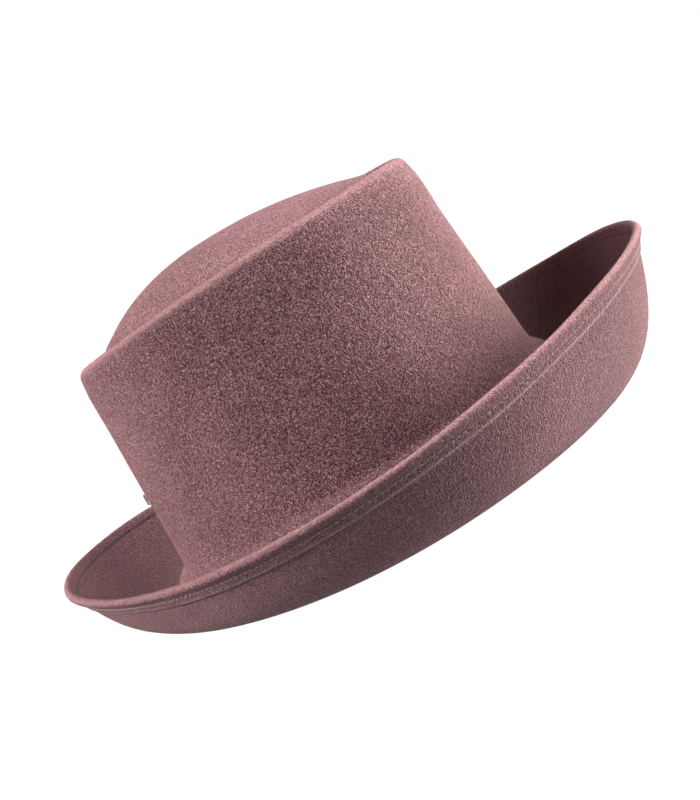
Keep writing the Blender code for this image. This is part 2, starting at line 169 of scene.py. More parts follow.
def place(angle, out, z):
    """Points of sections in space.  Inside the crown's rim, sections turn to its middle."""
    slope_x, slope_y = np.sin(angle) / OVAL_HALF_WIDTH, np.cos(angle) / OVAL_HALF_LENGTH
    size = np.hypot(slope_x, slope_y)
    edge = np.maximum(out, rim_out(angle))
    x = OVAL_HALF_WIDTH * np.sin(angle) + slope_x / size * edge
    y = OVAL_SHIFT + OVAL_HALF_LENGTH * np.cos(angle) + slope_y / size * edge
    in_x, in_y = -x, OVAL_SHIFT + DOME_SHIFT - y
    share = (edge - out) / np.hypot(in_x, in_y)
    return np.stack([x + in_x * share, y + in_y * share, z + 0 * x], axis=-1)


def to_middle(points):
    """Distance in plan from points to the middle of the crown's tip."""
    return np.hypot(points[..., 0], OVAL_SHIFT + DOME_SHIFT - points[..., 1])


def rim_span(angle):
    return to_middle(place(angle, rim_out(angle), 0.0))


def top_level(angle, out, share):
    """Height of the rim's surface carried inwards, to a share of the way from the middle."""
    return rim_level(place(angle, out, 0.0)[..., 1]) + wave(RIM_WAVE, angle) * share ** 3


def wall_height(angle):
    return top_level(angle, rim_out(angle), 1.0) - root_height(angle)


def inside(angle, standoff, height):
    """Point in from the outside of the crown wall, at a height above the brim's root."""
    out = rim_out(angle) * height / wall_height(angle) - standoff
    return (out, root_height(angle) + height)


# ---------------------------------------------------------------- curves in a section

def stack(path):
    """Array of sections from a list of (out, z) pairs, each an array over the stations."""
    shape = np.broadcast_shapes(*[np.shape(part) for point in path for part in point])
    return np.stack([np.stack([np.broadcast_to(part, shape) for part in point], axis=-1)
                     for point in path], axis=-2)


def bezier(start, pull, end, steps):
    """Quadratic curve, without its first point."""
    return [tuple((1 - t) ** 2 * a + 2 * t * (1 - t) * b + t * t * c
                  for a, b, c in zip(start, pull, end))
            for t in (step / steps for step in range(1, steps + 1))]


def arc(middle, radius, start, end, steps):
    turns = [start + (end - start) * step / steps for step in range(steps + 1)]
    return [(middle[0] + radius * np.cos(turn), middle[1] + radius * np.sin(turn))
            for turn in turns]


def bell(value, middle, width):
    return np.exp(-((value - middle) / width) ** 2)


def unit(vectors):
    return vectors / np.maximum(np.linalg.norm(vectors, axis=-1, keepdims=True), 1e-12)


def beside(path, depth):
    """Paths moved to their right-hand side, by a depth at each point."""
    along = unit(np.gradient(path, axis=-2))
    aside = np.stack([along[..., 1], -along[..., 0]], axis=-1)
    return path + aside * np.broadcast_to(depth, path.shape[:-1])[..., None]


def smooth(path, step):
    """Smooth curves through the points of the paths, at about a step along them."""
    moves = np.diff(path, axis=-2)
    gaps = np.maximum(np.linalg.norm(moves, axis=-1, keepdims=True), 1e-8)
    slopes = moves / gaps
    share = gaps[..., :-1, :] / (gaps[..., :-1, :] + gaps[..., 1:, :])
    middle = slopes[..., :-1, :] * (1 - share) + slopes[..., 1:, :] * share
    tangents = np.concatenate([slopes[..., :1, :], middle, slopes[..., -1:, :]], axis=-2)
    parts = []
    for index in range(moves.shape[-2]):
        count = max(1, round(float(gaps[..., index, 0].mean()) / step))
        start, end = path[..., index, None, :], path[..., index + 1, None, :]
        gap = gaps[..., index, None, :]
        leave, arrive = tangents[..., index, None, :] * gap, tangents[..., index + 1, None, :] * gap
        t = (np.arange(count) / count)[:, None]
        parts.append((2 * t ** 3 - 3 * t ** 2 + 1) * start + (t ** 3 - 2 * t ** 2 + t) * leave
                     + (3 * t ** 2 - 2 * t ** 3) * end + (t ** 3 - t ** 2) * arrive)
    parts.append(path[..., -1:, :])
    return np.concatenate(parts, axis=-2)


# ---------------------------------------------------------------- meshes

def finish_in(piece, look):
    piece.data.materials.clear()
    piece.data.materials.append(look)


def add_mesh(name, points, faces, look, slot, **attributes):
    mesh = bpy.data.meshes.new(name)
    mesh.from_pydata(np.asarray(points).tolist(), [], faces)
    mesh.validate()
    for key, values in attributes.items():
        layer = mesh.attributes.new(key, "FLOAT", "POINT")
        layer.data.foreach_set("value", np.asarray(values, dtype=np.float32).ravel())
    mesh.materials.append(look)
    mesh.shade_smooth()
    piece = bpy.data.objects.new(name, mesh)
    bpy.context.scene.collection.objects.link(piece)
    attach(piece, "root")
    return piece


def grid_faces(rows, columns, ring, loop, start=0):
    """Quads of a grid of points.  A ring joins its last row to the first, a loop its columns."""
    row = np.arange(rows if ring else rows - 1)[:, None]
    column = np.arange(columns if loop else columns - 1)[None, :]
    row_after, column_after = (row + 1) % rows, (column + 1) % columns
    corners = (row * columns + column, row_after * columns + column,
               row_after * columns + column_after, row * columns + column_after)
    quads = np.stack(np.broadcast_arrays(*corners), axis=-1).reshape(-1, 4) + start
    return quads.tolist()


def swept(name, points, look, slot, ring=True, **attributes):
    """Closed solid from sections (stations, points, 3) that are closed loops."""
    rows, columns = points.shape[:2]
    faces = grid_faces(rows, columns, ring, True)
    if not ring:
        faces.append(list(range(columns)))
        faces.append([(rows - 1) * columns + index for index in reversed(range(columns))])
    return add_mesh(name, points.reshape(-1, 3), faces, look, slot, **attributes)


def dish(name, points, look, slot, **attributes):
    """Dished shell: sections from the middle of one face to the middle of the other."""
    rows, columns = points.shape[:2]
    poles = [points[:, 0].mean(axis=0), points[:, -1].mean(axis=0)]
    inner = points[:, 1:-1]
    count = columns - 2
    faces = grid_faces(rows, count, True, False)
    first, last = rows * count, rows * count + 1
    for row in range(rows):
        after = (row + 1) % rows
        faces.append([first, after * count, row * count])
        faces.append([last, row * count + count - 1, after * count + count - 1])
    values = {key: np.append(np.broadcast_to(value, points.shape[:2])[:, 1:-1].ravel(), (0.0, 0.0))
              for key, value in attributes.items()}
    return add_mesh(name, np.concatenate([inner.reshape(-1, 3), poles]), faces, look, slot, **values)


def outward(points):
    """Normals of a ring of sections."""
    around = np.roll(points, -1, axis=0) - np.roll(points, 1, axis=0)
    return unit(np.cross(around, np.gradient(points, axis=1)))


def rough(points, scale, seed):
    """Smooth noise at points, from -1 to 1."""
    flat = points.reshape(-1, 3) / scale + seed
    values = np.array([noise.noise(Vector(point)) for point in flat.tolist()])
    return values.reshape(points.shape[:-1])


def angles(count):
    return tau * np.arange(count) / count


# ---------------------------------------------------------------- felt

def hem_frame(angle):
    """The wire's middle, the way up the brim to its edge, and the way out of its underside."""
    reach = wave(BRIM_REACH, angle)
    tip = (reach, wave(EDGE_HEIGHT, angle))
    bottom = wave(ROLL_BOTTOM, angle) * reach
    low = bottom + (reach - bottom) * wave(ROLL_CURL, angle)
    size = np.hypot(tip[0] - low, tip[1])
    up = ((tip[0] - low) / size, tip[1] / size)
    off = (up[1], -up[0])
    turn = WIRE_ROOM + FELT_EDGE
    return (tip[0] - up[0] * turn, tip[1] - up[1] * turn), up, off


def hem_point(angle, depth, height):
    """Point at a depth from the wire down the brim, and a height off the brim's underside."""
    wire, up, off = hem_frame(angle)
    lift = height - WIRE_ROOM
    return (wire[0] - up[0] * depth + off[0] * lift, wire[1] - up[1] * depth + off[1] * lift)


def seam_dip(depth, most=STITCH_DIP):
    """How far the felt is drawn in beside the stitches."""
    return most * bell(depth, HEM_STITCH, FURROW)


def flap_face(depth):
    """Height of the turned flap's outer face, from the wire down to its cut edge."""
    ridge = 2 * WIRE_ROOM + FELT_EDGE
    low = FELT_EDGE + HEM_GAP
    share = np.clip(depth / HEM_CLOSE, 0, 1)
    height = ridge + (low - ridge) * (3 * share ** 2 - 2 * share ** 3)
    thin = np.clip((depth - HEM_CLOSE) / (HEM_DEPTH - HEM_CLOSE), 0, 1)
    return height + (FLAP_CUT - FELT_EDGE) * thin - seam_dip(depth, FLAP_DIP)


def brim_under(angle):
    """Underside of the brim, from the head opening's fillet to the start of the hem."""
    bottom = wave(ROLL_BOTTOM, angle) * wave(BRIM_REACH, angle)
    start = (UNDER_START + 0 * angle, root_height(angle) - FELT)
    flat = ((bottom - REST_HALF, 0 * angle), (bottom + REST_HALF, 0 * angle))
    dip = (start[0] + (flat[0][0] - start[0]) * 0.62, 0 * angle)
    hem = hem_point(angle, HEM_STRAIGHT, 0.0)
    up = hem_frame(angle)[1]
    low = (hem[0] - up[0] * hem[1] / up[1], 0 * angle)
    return [start] + bezier(start, dip, flat[0], 9) + [flat[1]] + bezier(flat[1], low, hem, 16)


def crown_top(angle):
    """Outside of the crown from the tip's middle to the rim, and round on to the wall."""
    span = rim_span(angle)
    dome = span - DOME_INSET
    path = []
    for radius, height in (
            [(share * dome, DOME_RISE * (1 - share ** DOME_POWER))
             for share in (0.0, 0.04, 0.12, 0.22, 0.34, 0.45, 0.56, 0.66, 0.75, 0.84, 0.92, 1.0)]
            + [(span - GROOVE_INSET - 0.0030, -GROOVE_DEPTH * 0.75),
               (span - GROOVE_INSET + 0.0005, -GROOVE_DEPTH),
               (span - GROOVE_INSET + 0.0040, -GROOVE_DEPTH * 0.72)]):
        out = rim_out(angle) - span + radius
        lean = DOME_TILT * (place(angle, out, 0.0)[..., 1] - OVAL_SHIFT - DOME_SHIFT)
        lean = lean * np.maximum(0.0, 1 - (radius / dome) ** 2)
        path.append((out, top_level(angle, out, radius / span) + height + lean))
    top = root_height(angle) + wall_height(angle)
    middle = (rim_out(angle) - RIM_RADIUS, top - RIM_RADIUS)
    return path + arc(middle, RIM_RADIUS, pi * 0.56, 0.05, 8)


def felt_sections(angle):
    """The felt's outside, from the tip's middle to the flap's cut edge, and then its inside:
    under the flap and the brim as far as the wall, and the rest, which the lining hides."""
    under = stack(brim_under(angle))
    thin = -FELT + (FELT - FELT_EDGE) * np.linspace(0, 1, under.shape[1])
    small = ROOT_FILLET - FELT
    corner = (small + 0 * angle, root_height(angle) + small)
    wall = [inside(angle, 0.0, wall_height(angle) * share) for share in (0.93, 0.7, 0.45, 0.2)]
    wire, _, off = hem_frame(angle)
    heading = np.arctan2(-off[1], -off[0])
    top = crown_top(angle)
    outer = top + wall + arc(corner, small, pi, pi * 1.4, 4)
    brim = beside(under, thin)[:, 1:-1]
    outer += [(brim[:, index, 0], brim[:, index, 1]) for index in range(brim.shape[1])]
    outer += [hem_point(angle, depth, -FELT_EDGE + seam_dip(depth)) for depth in FACE_DEPTHS]
    outer += arc(wire, WIRE_ROOM + FELT_EDGE, heading, heading - pi, 8)
    outer += [hem_point(angle, depth, flap_face(depth)) for depth in FLAP_DEPTHS]
    outer += [hem_point(angle, HEM_DEPTH, HEM_GAP + 0.8 * FLAP_CUT),
              hem_point(angle, HEM_DEPTH + 0.0002, HEM_GAP + 0.3 * FLAP_CUT)]
    inner = [hem_point(angle, HEM_DEPTH, 0.0002), hem_point(angle, HEM_CLOSE, HEM_GAP)]
    inner += arc(wire, WIRE_ROOM, heading - pi, heading, 5)
    inner.append(hem_point(angle, 0.5 * HEM_STRAIGHT, 0.0))
    under = under[:, ::-1]
    inner += [(under[:, index, 0], under[:, index, 1]) for index in range(under.shape[1])]
    inner += arc(corner, ROOT_FILLET, pi * 1.4, pi, 5)[1:]
    hidden = beside(stack(top + wall), FELT)[:, ::-1]
    return smooth(stack(outer), FINE), smooth(stack(inner), FINE), smooth(hidden, 2.5 * FINE)


def felt_shades(angle, section, outer_columns):
    """Shares by which the felt is worn, pressed smooth, or painted lighter or darker for light and shade
    at each point.
    """
    out = section[..., 0]
    back = np.cos(angle[:, None])          # 1 at the back of the hat, -1 at its front
    wire, up, off = (np.stack(part, axis=-1)[:, None] for part in hem_frame(angle))
    spoke = section - wire
    rise, aside = (spoke * up).sum(axis=-1), (spoke * off).sum(axis=-1)
    turn, far = np.arctan2(aside, rise), np.hypot(rise, aside)
    # the bead's top is lighter, partly wear and partly a painted highlight; painted shade lies under it
    bead = (far > 0.0014) & (far < 0.0030)
    ridge = bead * bell(turn, 0.55, 0.72)
    under_bead_shade = bead * bell(turn, 1.65, 0.35)
    # painted shade makes the flap a little darker than the brim; a painted highlight lines its cut edge
    flap = np.clip((aside - 0.0002) / 0.0004, 0, 1) * (rise < 0.0010)
    hem = flap * np.clip((HEM_DEPTH + rise) / 0.0004, 0, 1) * np.clip((turn - 0.7) / 0.5, 0, 1)
    lip = section - np.stack(hem_point(angle, HEM_DEPTH, HEM_GAP + 0.7 * FLAP_CUT), axis=-1)[:, None]
    cut = bell(np.linalg.norm(lip, axis=-1), 0.0, 0.0006)
    # painted shade in the gutter, darkest at the front of the hat, and in the furrow of the upper
    # stitches
    front = np.clip(0.1 - 1.4 * back, 0, 1)
    deep = np.clip(1.4 - out / 0.045, 0.70, 1)
    gutter_shade = (0.15 * np.clip((out - 0.012) / 0.012, 0, 1) * (1 - front)
              + 0.84 * front * deep * np.clip((out - 0.001) / 0.004, 0, 1))
    seam = bell(-rise, HEM_STITCH, 0.0007) * (out > 0.02)
    edge = np.where(out > 0.02, rise, -1.0)[:, :outer_columns].argmax(axis=1)[:, None]
    above = np.arange(section.shape[1]) < edge
    gutter_shade = np.maximum(gutter_shade, 0.75 * seam) * above * (1 - ridge)
    # the crown's rim is lighter, partly wear and partly a painted highlight, most of all at the back
    middle = np.stack([rim_out(angle) - RIM_RADIUS,
                       root_height(angle) + wall_height(angle) - RIM_RADIUS], axis=-1)[:, None]
    crest = section - middle
    turn = np.arctan2(crest[..., 1], crest[..., 0])
    bead = np.abs(np.linalg.norm(crest, axis=-1) - RIM_RADIUS) < 0.0008
    ridge = ridge + bead * bell(turn, pi * 0.28, 0.48) * (0.95 + 0.35 * back)
    # the nap is pressed smooth on the brim, and brushed smoother on the crown's front
    brushed = 0.60 * np.clip((0.010 - out) / 0.008, 0, 1) * np.clip(-2.0 * back - 0.6, 0, 1)
    pressed = np.clip(np.clip((out - 0.006) / 0.008, 0, 1) + brushed, 0, 1) * np.clip(1 - ridge, 0, 1)
    return {"ridge": ridge, "cut": cut, "pressed": pressed, "under_bead_shade": under_bead_shade, "hem": hem,
            "gutter_shade": gutter_shade}


def build_felt(look):
    angle = angles(STATIONS)
    outer, inner, hidden = felt_sections(angle)
    section = np.concatenate([outer, inner, hidden], axis=1)
    points = place(angle[:, None], section[..., 0], section[..., 1])
    shown = (np.arange(points.shape[1]) < outer.shape[1] + inner.shape[1]).astype(float)
    # blocking by hand leaves slow dents, and the nap stands unevenly
    fade = np.clip(to_middle(points) / 0.020, 0, 1) * shown
    level = np.clip(points[..., 2] / 0.004, 0, 1)
    dents = rough(points, 0.048, 3.1) * 0.00045 * fade * level
    nap = rough(points, 0.0021, 7.7) * 0.00010 * fade * level
    points = points + outward(points) * (dents + nap)[..., None]
    shades = felt_shades(angle, section, outer.shape[1])
    piece = dish("felt_shell", points, look, "wool_felt",
                 **{name: share * shown for name, share in shades.items()})
    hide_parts("felt_body")


# ---------------------------------------------------------------- stitches

def stitches(name, middles, ups, radius, look):
    """Row of separate stitches along a closed line, each one a short tapered cord."""
    closed = np.concatenate([middles, middles[:1]])
    steps = np.linalg.norm(np.diff(closed, axis=0), axis=1)
    run = np.concatenate([[0], np.cumsum(steps)])
    count = round(run[-1] / STITCH_PITCH)
    at = (np.arange(count) + 0.5) * run[-1] / count
    shares = np.linspace(-0.5, 0.5, 7)
    sides = 6
    turns = angles(sides)
    points, faces = [], []
    for index, middle in enumerate(at):
        where = (middle + shares * STITCH_LENGTH) % run[-1]
        line = np.stack([np.interp(where, run, closed[:, axis]) for axis in range(3)], axis=-1)
        up = np.stack([np.interp(where, run, np.append(ups[:, axis], ups[0, axis]))
                       for axis in range(3)], axis=-1)
        line = line - up * (np.abs(shares * 2) ** 3 * radius * 2.2)[:, None]
        ahead = unit(np.gradient(line, axis=0))
        aside = unit(np.cross(ahead, up))
        lift = np.cross(aside, ahead)
        size = radius * (1 - 0.55 * np.abs(shares * 2) ** 4)
        ring = (line[:, None] + aside[:, None] * (np.cos(turns)[None, :] * size[:, None])[..., None]
                + lift[:, None] * (np.sin(turns)[None, :] * size[:, None])[..., None])
        start = index * len(shares) * sides
        points.append(ring.reshape(-1, 3))
        faces += grid_faces(len(shares), sides, False, True, start)
        faces.append([start + side for side in range(sides)])
        faces.append([start + (len(shares) - 1) * sides + side for side in reversed(range(sides))])
    return add_mesh(name, np.concatenate(points), faces, look, "hem_thread")


def line_of(point_at, up_at, count=720):
    """Points of a closed line round the hat, and the way up from its surface."""
    angle = angles(count)
    middle = place(angle, *point_at(angle))
    above = place(angle, *up_at(angle))
    return middle, unit(above - middle)


def build_stitches(look, painted_dark_thread):
    inner = line_of(lambda a: hem_point(a, HEM_STITCH, -FELT_EDGE + STITCH_DIP - STITCH_LIFT),
                    lambda a: hem_point(a, HEM_STITCH, -FELT_EDGE - 0.002))
    outer = line_of(lambda a: hem_point(a, HEM_STITCH, flap_face(HEM_STITCH) + 2 * STITCH_LIFT),
                    lambda a: hem_point(a, HEM_STITCH, FELT_EDGE + 0.003))
    # the upper stitches take the thread painted darker, as painted shade
    piece = stitches("hem_stitches_upper", *inner, STITCH_RADIUS, painted_dark_thread)
    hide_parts("hem_thread_upper")
    piece = stitches("hem_stitches_under", *outer, STITCH_RADIUS, look)
    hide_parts("hem_thread_under")
    band = line_of(lambda a: inside(a, BAND_STANDOFF + BAND + 0.9 * BAND_STITCH_RADIUS, BAND_STITCH),
                   lambda a: inside(a, BAND_STANDOFF + BAND + 0.002, BAND_STITCH))
    piece = stitches("sweatband_stitches", *band, BAND_STITCH_RADIUS, look)
    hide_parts("sweatband_thread")


# ---------------------------------------------------------------- sweatband and bow

def band_run(count=720):
    """Angles along the band, from one side of its join to the other."""
    half = BAND_JOIN / 2 / (OVAL_HALF_WIDTH + rim_out(0.0) - BAND_STANDOFF)
    return np.linspace(half, tau - half, count)


def lengths(points):
    """Distance along each row of stations, (stations, columns)."""
    steps = np.linalg.norm(np.diff(points, axis=0), axis=-1)
    return np.concatenate([np.zeros((1,) + steps.shape[1:]), np.cumsum(steps, axis=0)])


def build_sweatband(look):
    angle = band_run()
    fold = inside(angle, BAND_STANDOFF - BAND_FOLD, BAND_FOLD_HEIGHT)
    flap = BAND_STANDOFF - 2 * BAND_FOLD
    heights = (0.0300, 0.0240, 0.0180, 0.0120, 0.0085, 0.0060, 0.0045)
    face = [inside(angle, BAND_STANDOFF + BAND, BAND_TOP - 0.0003),
            inside(angle, BAND_STANDOFF + BAND, BAND_TOP - 0.0010)]
    face += [inside(angle, BAND_STANDOFF + BAND, height) for height in heights]
    face += arc(fold, BAND_FOLD + BAND, pi, tau, 8)
    face.append(inside(angle, flap - BAND, BAND_FLAP_TOP))
    back = [inside(angle, flap, BAND_FLAP_TOP)] + arc(fold, BAND_FOLD, tau, pi, 6)
    back += [inside(angle, BAND_STANDOFF, height) for height in reversed(heights)]
    back += [inside(angle, BAND_STANDOFF, BAND_TOP),
             inside(angle, BAND_STANDOFF + BAND / 2, BAND_TOP + 0.0001)]
    section = np.concatenate([smooth(stack(face), 0.0012), smooth(stack(back), 0.0016)], axis=1)
    points = place(angle[:, None], section[..., 0], section[..., 1])
    run = lengths(points)
    piece = swept("ribbon_sweatband", points, look, "grosgrain", ring=False, run=run)
    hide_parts("sweatband")


def build_bow(look):
    """Flat bow over the band's join: two loops that widen from a knot, pleated beside it."""
    reach = BOW_HALF_LENGTH / (OVAL_HALF_WIDTH + rim_out(0.0) - BAND_STANDOFF)
    across = np.linspace(-1, 1, 97)
    away = np.abs(across)
    turns = angles(40)
    spread = np.clip((away - 0.13) / 0.62, 0, 1)
    knot = np.exp(-(across / 0.15) ** 4)
    tall = BOW_HALF_HEIGHTS[0] + (BOW_HALF_HEIGHTS[1] - BOW_HALF_HEIGHTS[0]) * spread ** 0.8
    tall = tall * (1 - 0.10 * np.clip((away - 0.9) / 0.1, 0, 1) ** 2)
    thick = BOW_THICK / 2 * (0.42 + 0.46 * np.sin(away * pi) + 0.55 * knot)
    thick = np.minimum(thick, BOW_THICK / 2) * np.sqrt(np.clip((1.001 - away) / 0.05, 0, 1))
    pleat = BOW_PLEAT * (1 - spread) * (1 - knot)
    side = np.cos(turns)[None, :]
    level = np.sign(np.sin(turns)) * np.abs(np.sin(turns)) ** 0.6
    height = BOW_HEIGHT + tall[:, None] * level[None, :]
    depth = thick[:, None] * side + (pleat[:, None] * np.cos(level * 9.0)[None, :]) * (side < 0)
    angle = across[:, None] * reach
    standoff = BAND_STANDOFF + BAND + CLEAR + BOW_THICK / 2 - depth
    out, z = inside(angle, standoff, height)
    points = place(angle + 0 * out, out, z)
    piece = swept("ribbon_bow", points, look, "grosgrain", ring=False, run=lengths(points))
    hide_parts("sweatband_bow")


# ---------------------------------------------------------------- lining

def lining_top(angle):
    return wall_height(angle) - LINING_DROP


def build_lining(look):
    angle = angles(864)
    low, high = LINING_STANDOFFS
    top = lining_top(angle)
    path = [inside(angle, low, LINING_BOTTOM), inside(angle, low, LINING_BEND[0]),
            inside(angle, (low + high) / 2, sum(LINING_BEND) / 2), inside(angle, high, LINING_BEND[1]),
            inside(angle, high, (LINING_BEND[1] + top) / 2), inside(angle, high, top - 0.0040),
            inside(angle, high, top)]
    outer = smooth(stack(path), 0.0030)
    share = np.linspace(0, 1, outer.shape[1])
    # the satin is gathered into the tip's seam, so its folds deepen towards it
    phase = PLEATS * angle + 1.3 * np.sin(5 * angle) + 0.8 * np.sin(11 * angle)
    depth = LINING_FOLD * np.clip((share - 0.40) / 0.6, 0, 1) ** 1.4
    fold = depth[None, :] * (np.cos(phase)[:, None] + 0.35 * np.cos(2.3 * phase + 1.0)[:, None] - 1.3)
    outer = np.stack([outer[..., 0] + fold, outer[..., 1]], axis=-1)
    inner = np.stack([outer[..., 0] - LINING, outer[..., 1]], axis=-1)[:, ::-1]
    section = np.concatenate([outer, inner], axis=1)
    points = place(angle[:, None], section[..., 0], section[..., 1])
    piece = swept("satin_wall", points, look, "satin")
    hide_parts("lining_side")
    steps = np.linalg.norm(np.diff(points, axis=1), axis=-1)[:, :outer.shape[1] - 1]
    length = np.linalg.norm(points - np.roll(points, -1, axis=0), axis=-1).sum(axis=0)
    build_tip(look)


def tip_edge(angle):
    return inside(angle, LINING_STANDOFFS[1] + LINING + CLEAR, lining_top(angle))


def tip_face(angle, share, drop):
    """Points of the lining's tip at shares of its radius, below its upper face by a drop."""
    edge = tip_edge(angle)[0]
    out = edge - (1 - share) * to_middle(place(angle, edge, 0.0))
    level = top_level(angle, out, share) - LINING_DROP
    return place(angle, out, level + TIP_RISE * (1 - share ** 2) - drop)


def disc(name, share, drop, thick, look, slot, stations, steps, rounded):
    """Domed disc at the lining's tip, at a drop below its upper face."""
    angle = angles(stations)[:, None]
    shares = np.linspace(0.0, share, steps)[None, :]
    edge = np.sqrt(np.clip((share - shares) / (0.02 * share), 0, 1)) if rounded else 1.0
    upper = tip_face(angle, shares, drop + thick / 2 - thick / 2 * edge)
    lower = tip_face(angle, shares, drop + thick / 2 + thick / 2 * edge)[:, ::-1]
    return dish(name, np.concatenate([upper, lower], axis=1), look, slot)


def build_tip(look):
    piece = disc("satin_tip", 1.0, 0.0, LINING, look, "satin", stations=240, steps=40, rounded=True)
    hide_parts("lining_tip")
    edge = place(angles(360), *tip_edge(angles(360)))
    angle = angles(720)
    out, z = tip_edge(angle)
    twist = 1 + 0.06 * np.cos(PIPING_TWISTS * angle)
    turns = angles(12)
    radius = PIPING_RADIUS * 0.94 * twist[:, None]
    cord_out = (out - PIPING_RADIUS)[:, None] + radius * np.cos(turns)
    cord_z = (z - LINING - CLEAR - PIPING_RADIUS)[:, None] + radius * np.sin(turns)
    piece = swept("satin_piping", place(angle[:, None], cord_out, cord_z), look, "satin")
    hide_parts("lining_piping")


# ---------------------------------------------------------------- labels

def patch(name, path, middle_turn, half_length, look, bulge=0.0):
    """Thin woven label along the band, from a path of (standoff, height) pairs."""
    radius = (OVAL_HALF_WIDTH + OVAL_HALF_LENGTH) / 2 - BAND_STANDOFF
    across = np.linspace(-1, 1, 25)
    angle = middle_turn * tau + across * half_length / radius
    line = smooth(np.array(path), 0.0010)
    middle = np.linspace(-1, 1, len(line))
    rise = bulge * np.maximum(0, 1 - middle ** 2)[None, :] * (1 - across ** 2)[:, None]
    near, far = line[None, :, 0] + rise, line[None, :, 0] + rise + LABEL
    height = np.broadcast_to(line[None, :, 1], near.shape)
    outer = place(angle[:, None], *inside(angle[:, None], near, height))
    inner = place(angle[:, None], *inside(angle[:, None], far, height))[:, ::-1]
    points = np.concatenate([outer, inner], axis=1)
    both = np.concatenate([middle, middle[::-1]])
    border = np.maximum(np.abs(across)[:, None], np.abs(both)[None, :])
    return swept(name, points, look, "label_tape", ring=False, border=border)


def build_labels(look, disc_look):
    piece = disc("blank_tip_label", TIP_LABEL_SHARE, LINING + CLEAR, LABEL, disc_look, "label_tape",
                 stations=120, steps=20, rounded=False)
    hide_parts("tip_label")
    half_length, half_height, height = SIZE_LABEL
    standoff = BAND_STANDOFF + BAND + CLEAR
    piece = patch("blank_size_label", ((standoff, height - half_height), (standoff, height),
                                       (standoff, height + half_height)),
                  SIZE_LABEL_TURN, half_length, look, 0.0004)
    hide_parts("size_label")
    piece = patch("blank_care_label", CARE_LABEL_PATH, CARE_LABEL_TURN, CARE_LABEL_HALF, look)
    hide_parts("care_label")


# ---------------------------------------------------------------- materials

class Nodes:
    """Short way to write a material's nodes."""

    def __init__(self, name, roughness, specular=0.3, metallic=0.0, sheen=0.0, sheen_roughness=0.5,
                 sheen_tint=(1.0, 1.0, 1.0), anisotropic=0.0):
        self.material = bpy.data.materials.new(name)
        self.material.use_nodes = True
        self.tree = self.material.node_tree
        self.shader = self.tree.nodes["Principled BSDF"]
        for socket, value in (("Roughness", roughness), ("Specular IOR Level", specular),
                              ("Metallic", metallic), ("Sheen Weight", sheen),
                              ("Sheen Roughness", sheen_roughness), ("Sheen Tint", (*sheen_tint, 1.0)),
                              ("Anisotropic", anisotropic)):
            self.shader.inputs[socket].default_value = value

    def add(self, kind, settings=(), **links):
        """New node, with its inputs given by number, as i0, or by name, with _ for a space."""
        node = self.tree.nodes.new("ShaderNode" + kind)
        for key, value in dict(settings).items():
            setattr(node, key, value)
        for key, value in links.items():
            self.link(value, node.inputs[int(key[1:]) if key[1:].isdigit() else key.replace("_", " ")])
        return node

    def link(self, value, socket):
        if isinstance(value, bpy.types.NodeSocket):
            self.tree.links.new(value, socket)
        elif isinstance(value, bpy.types.Node):
            self.tree.links.new(value.outputs[0], socket)
        else:
            socket.default_value = value

    def where(self):
        return self.add("TexCoord").outputs["Object"]

    def noise(self, scale, detail=2.0, roughness=0.5, distortion=0.0, where=None):
        node = self.add("TexNoise", Vector=where or self.where(), Scale=scale, Detail=detail,
                        Roughness=roughness, Distortion=distortion)
        return node.outputs["Fac"]

    def maths(self, operation, *values):
        return self.add("Math", {"operation": operation},
                        **{f"i{index}": value for index, value in enumerate(values)}).outputs[0]

    def attribute(self, name):
        return self.add("Attribute", {"attribute_name": name}).outputs["Fac"]

    def span(self, value, low, high, to_low=0.0, to_high=1.0):
        node = self.add("MapRange", Value=value)
        for socket, number in (("From Min", low), ("From Max", high),
                               ("To Min", to_low), ("To Max", to_high)):
            node.inputs[socket].default_value = number
        return node.outputs["Result"]

    def ramp(self, value, *stops):
        node = self.add("ValToRGB", Fac=value)
        elements = node.color_ramp.elements
        while len(elements) < len(stops):
            elements.new(0.5)
        for element, (position, colour) in zip(elements, stops):
            element.position = position
            element.color = (*colour, 1.0)
        return node.outputs["Color"]

    def colour(self, value, socket):
        self.link((*value, 1.0) if isinstance(value, tuple) else value, socket)

    def mix(self, share, one, other):
        node = self.add("Mix", {"data_type": "RGBA"})
        self.link(share, node.inputs["Factor"])
        self.colour(one, node.inputs["A"])
        self.colour(other, node.inputs["B"])
        return node.outputs["Result"]

    def bump(self, height, distance, strength, normal=None):
        node = self.add("Bump", Height=height)
        node.inputs["Distance"].default_value = distance
        node.inputs["Strength"].default_value = strength
        if normal:
            self.link(normal, node.inputs["Normal"])
        return node.outputs["Normal"]

    def done(self, colour, normal=None):
        self.colour(colour, self.shader.inputs["Base Color"])
        if normal:
            self.link(normal, self.shader.inputs["Normal"])
        return self.material


# matted fibres from dark to light, and the stray hairs among them
FELT_DARK = (0.050, 0.022, 0.026)
FELT_MIDDLE = (0.240, 0.098, 0.107)
FELT_LIGHT = (0.660, 0.350, 0.345)
FELT_FLECK = (0.860, 0.620, 0.600)
FELT_SPECK = (0.920, 0.660, 0.640)
# painted shade, the pressed brim, the cut edge's painted highlight, and the bead and rim's wear and
# highlight
FELT_SHADE = (0.017, 0.028, 0.034)
FELT_PRESSED = (0.190, 0.178, 0.192)
FELT_CUT_HIGHLIGHT = (0.760, 0.570, 0.556)
FELT_WEAR_AND_HIGHLIGHT = (0.800, 0.450, 0.450)


